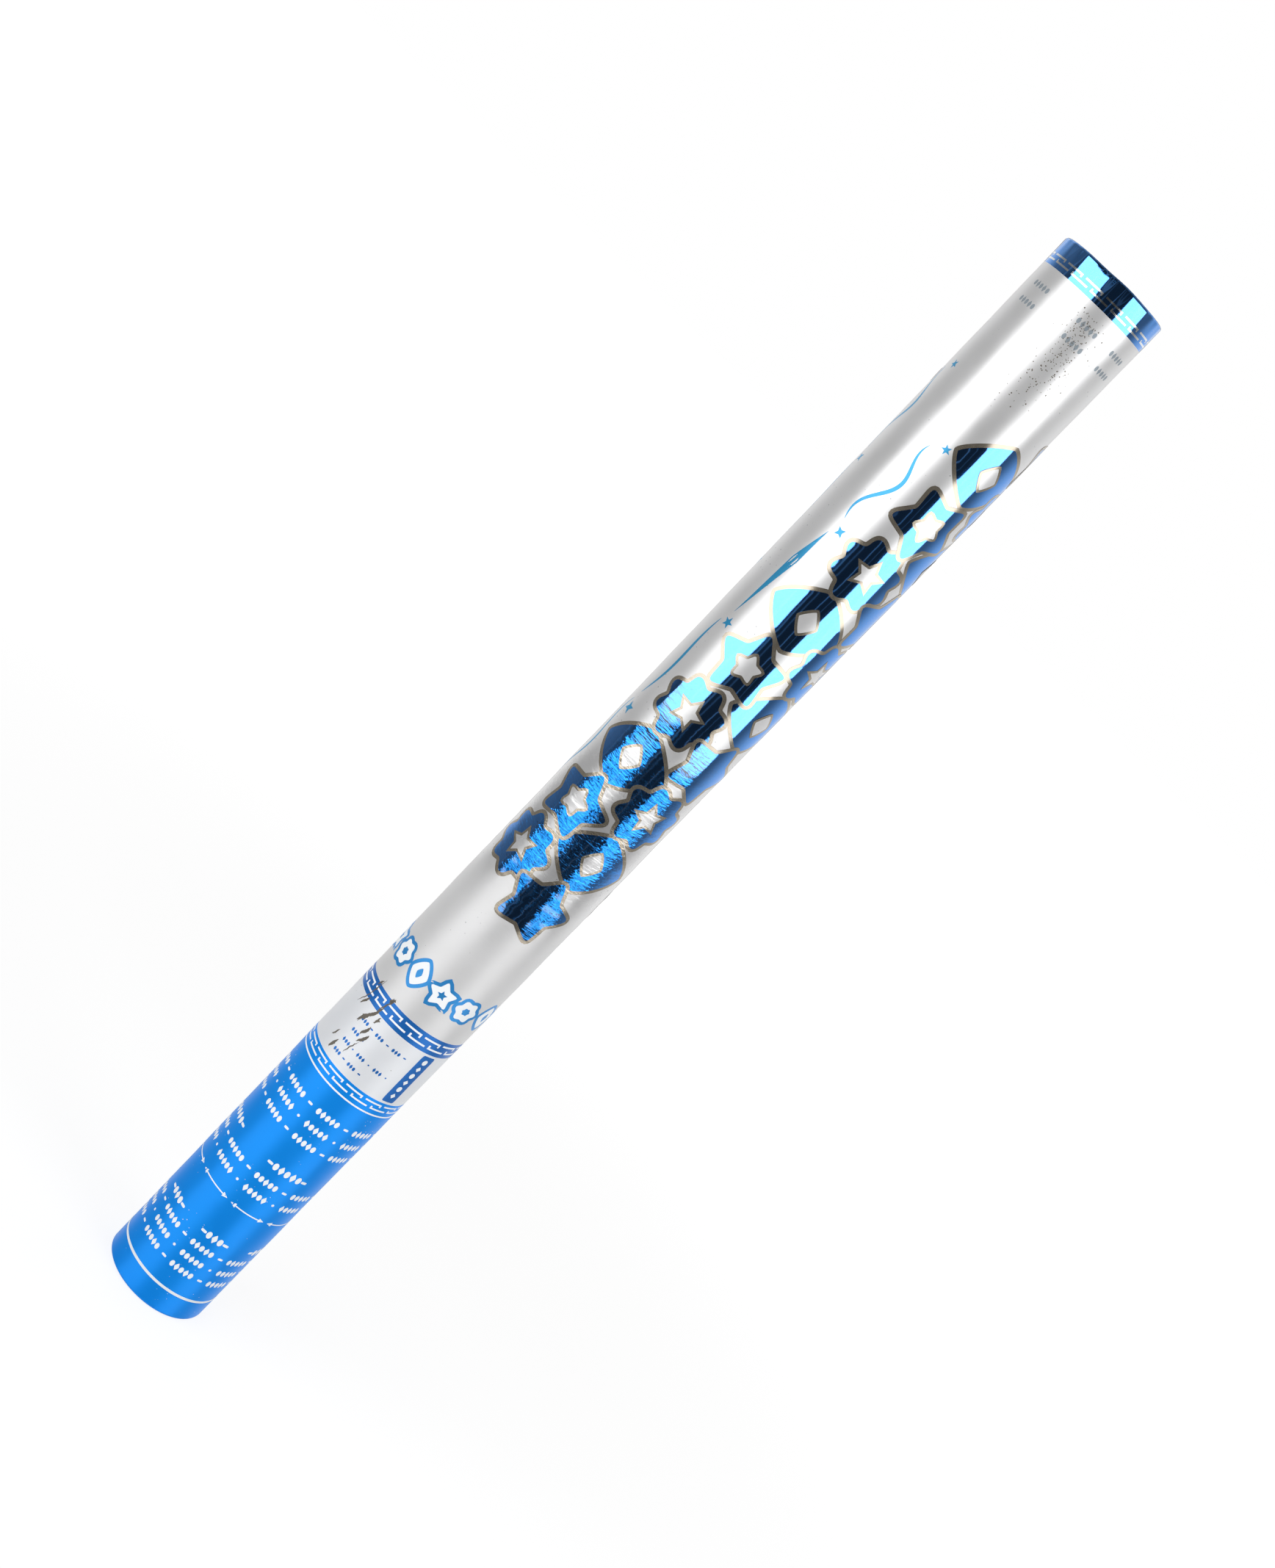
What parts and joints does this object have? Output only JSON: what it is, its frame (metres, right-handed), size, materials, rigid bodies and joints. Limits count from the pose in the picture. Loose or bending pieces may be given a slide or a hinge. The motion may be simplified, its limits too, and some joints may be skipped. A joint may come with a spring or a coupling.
{
  "type": "confetti popper",
  "caption": "Hand-held compressed-air confetti tube with a pull-off base cover, a safety card, a push button and a sealed muzzle that lets the confetti out.",
  "frame": {"origin": "centre of the base cover's flat underside, on which the popper stands", "axes": "+Z along the tube to the muzzle, -Y the printed front that faces the camera, +Y the side the card leaves by"},
  "size_m": [0.0524, 0.0524, 0.6],
  "materials": {
    "wound_paper": "matte",
    "silver_foil": "satin",
    "blue_cover": "satin",
    "white_plastic": "satin",
    "white_card": "matte",
    "red_plastic": "gloss",
    "grey_plastic": "matte",
    "steel": "satin",
    "brass": "satin",
    "bottle_aluminium": "satin",
    "black_rubber": "matte",
    "board": "matte",
    "felt": "matte",
    "gold_slips": "satin",
    "pink_slips": "matte",
    "blue_slips": "matte",
    "silver_slips": "satin"
  },
  "bodies": {
    "barrel": {"barrel_tube": "wound_paper", "foil_wrap": "silver_foil", "end_collar": "white_plastic", "collar_tacks": "steel", "guide_plate": "white_plastic", "plate_screws": "steel", "bottle_holder": "white_plastic", "gas_bottle": "bottle_aluminium", "valve_body": "brass", "neck_gasket": "black_rubber", "crimp_cap": "bottle_aluminium", "valve_cage": "grey_plastic", "filling_stopper": "black_rubber", "top_spider": "white_plastic", "gas_baffle": "grey_plastic"},
    "cover": {"base_cover": "blue_cover"},
    "card": {"safety_card": "white_card"},
    "button": {"push_button": "red_plastic", "stem_clip": "steel", "return_spring": "steel"},
    "valve": {"valve_poppet": "brass", "poppet_seal": "black_rubber", "valve_spring": "steel"},
    "charge": {"wad_disc": "board", "felt_pad": "felt", "confetti_gold": "gold_slips", "confetti_pink": "pink_slips", "confetti_blue": "blue_slips", "confetti_silver": "silver_slips"},
    "muzzle": {"muzzle_disc": "board"}
  },
  "joints": [
    {"name": "cover_pull", "type": "slide", "parent": "barrel", "child": "cover", "axis": [0, 0, -1], "range_m": [0, 0.06]},
    {"name": "card_pull", "type": "slide", "parent": "barrel", "child": "card", "axis": [0, 1, 0], "range_m": [0, 0.047]},
    {"name": "button_push", "type": "slide", "parent": "barrel", "child": "button", "axis": [0, 0, 1], "range_m": [0, 0.007], "stiffness_N_per_m": 400, "springref_m": -0.002, "deforming": ["return_spring"]},
    {"name": "valve_lift", "type": "slide", "parent": "barrel", "child": "valve", "axis": [0, 0, 1], "range_m": [0, 0.007], "deforming": ["valve_spring"]},
    {"name": "charge_launch", "type": "slide", "parent": "barrel", "child": "charge", "axis": [0, 0, 1], "range_m": [0, 0.4]},
    {"name": "muzzle_burst", "type": "slide", "parent": "barrel", "child": "muzzle", "axis": [0, 0, 1], "range_m": [0, 0.4]}
  ],
  "couplings": [
    {"joint": "valve_lift", "follows": "button_push", "ratio": 1},
    {"joint": "muzzle_burst", "follows": "charge_launch", "ratio": 1}
  ]
}
